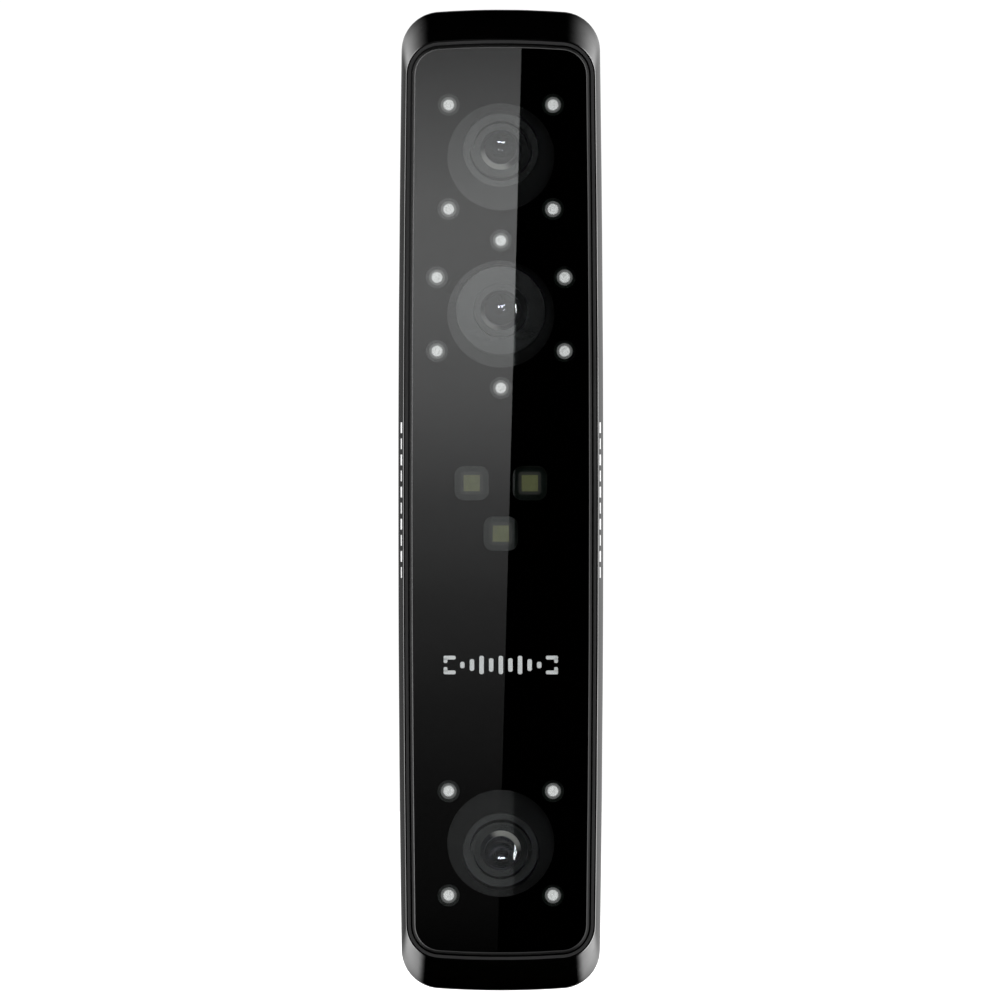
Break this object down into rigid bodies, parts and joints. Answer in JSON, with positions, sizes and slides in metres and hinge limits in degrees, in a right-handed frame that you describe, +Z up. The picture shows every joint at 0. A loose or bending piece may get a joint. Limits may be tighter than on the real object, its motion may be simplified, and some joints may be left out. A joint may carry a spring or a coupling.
{
  "type": "handheld 3D scanner",
  "caption": "Slim upright handheld scanner with a full-length glass front over cameras, lamps and projectors, a waisted grip back with keys, and a cable socket in the lower end.",
  "frame": {"origin": "centre of the overall bounding box of the scanner", "axes": "+Z up along the long axis, away from the cable socket; -Y out of the glass front; +X to the right when the front is looked at"},
  "size_m": [0.046, 0.055, 0.22],
  "materials": {
    "front_casing": "polished black injection moulding",
    "rear_casing": "fine-textured soft-touch black",
    "trim_metal": "matt dark grey anodised finish",
    "window_glass": "clear cover glass with a polished ground bevel",
    "mask_print": "black printed film",
    "foam": "closed-cell adhesive foam",
    "label_film": "blank satin polyester label",
    "panel_plastic": "satin black",
    "key_rubber": "soft-touch dark grey",
    "light_guide": "milky translucent",
    "bench_aluminium": "bead-blasted, dark anodised",
    "mount_aluminium": "turned, grey anodised",
    "barrel_aluminium": "turned, matt black anodised",
    "lens_glass": "coated optical glass",
    "baffle_plastic": "matt black",
    "circuit_board": "black solder mask",
    "chip_resin": "black moulding compound",
    "connector_plastic": "ivory nylon",
    "lamp_ceramic": "white reflector resin",
    "lamp_silicone": "clear silicone",
    "projector_ceramic": "dark ceramic",
    "diffuser_film": "olive patterned diffuser",
    "screw_steel": "zinc-plated steel",
    "shield_tin": "tinned sheet steel",
    "pad_silicone": "grey-blue thermal silicone",
    "flex_film": "amber polyimide",
    "harness_sleeve": "black heat-shrink sleeve",
    "switch_plastic": "black nylon",
    "plunger_plastic": "red-brown nylon",
    "plug_rubber": "matt black",
    "socket_metal": "dark chromate",
    "insert_plastic": "black glass-filled nylon",
    "contact_gold": "gold-plated",
    "seal_rubber": "black elastomer"
  },
  "bodies": {
    "housing": {"bench_screws": "screw_steel", "board_connectors": "connector_plastic", "board_screws": "screw_steel", "board_standoffs": "screw_steel", "camera_boards": "circuit_board", "camera_flexes": "flex_film", "camera_screws": "screw_steel", "case_screws": "screw_steel", "control_panel": "panel_plastic", "front_shell": "front_casing", "front_window": "window_glass", "heat_bridge": "bench_aluminium", "image_sensors": "chip_resin", "infrared_lamps": "lamp_ceramic", "key_board": "circuit_board", "key_flex": "flex_film", "lamp_boards": "circuit_board", "lamp_domes": "lamp_silicone", "lens_barrels": "barrel_aluminium", "lens_elements": "lens_glass", "lens_lock_rings": "barrel_aluminium", "light_board_screws": "screw_steel", "light_flexes": "flex_film", "lower_baffle": "baffle_plastic", "lower_lens_mount": "mount_aluminium", "main_board": "circuit_board", "main_chips": "chip_resin", "middle_baffle": "baffle_plastic", "middle_lens_mount": "mount_aluminium", "optical_bench": "bench_aluminium", "power_harness": "harness_sleeve", "projector_board": "circuit_board", "projector_diffusers": "diffuser_film", "projector_heatsink": "bench_aluminium", "projector_housings": "projector_ceramic", "rating_label": "label_film", "rear_shell": "rear_casing", "screw_plugs": "plug_rubber", "shield_can": "shield_tin", "socket_contacts": "contact_gold", "socket_insert": "insert_plastic", "socket_nut": "socket_metal", "socket_seal": "seal_rubber", "socket_shell": "socket_metal", "status_lamps": "lamp_ceramic", "status_ring": "light_guide", "switch_bodies": "switch_plastic", "thermal_pad": "pad_silicone", "upper_baffle": "baffle_plastic", "upper_lens_mount": "mount_aluminium", "white_lamps": "lamp_ceramic", "window_frame": "trim_metal", "window_gasket": "foam", "window_mask": "mask_print"},
    "scan_button": {"scan_key": "key_rubber", "scan_switch_plunger": "plunger_plastic"},
    "plus_button": {"plus_key": "key_rubber", "plus_switch_plunger": "plunger_plastic"},
    "minus_button": {"minus_key": "key_rubber", "minus_switch_plunger": "plunger_plastic"}
  },
  "joints": [
    {"name": "scan_press", "type": "slide", "parent": "housing", "child": "scan_button", "axis": [0, -1, 0], "range_m": [0, 0.0005], "stiffness_N_per_m": 300, "springref_m": -0.002},
    {"name": "plus_press", "type": "slide", "parent": "housing", "child": "plus_button", "axis": [0, -1, 0], "range_m": [0, 0.0005], "stiffness_N_per_m": 300, "springref_m": -0.002},
    {"name": "minus_press", "type": "slide", "parent": "housing", "child": "minus_button", "axis": [0, -1, 0], "range_m": [0, 0.0005], "stiffness_N_per_m": 300, "springref_m": -0.002}
  ]
}
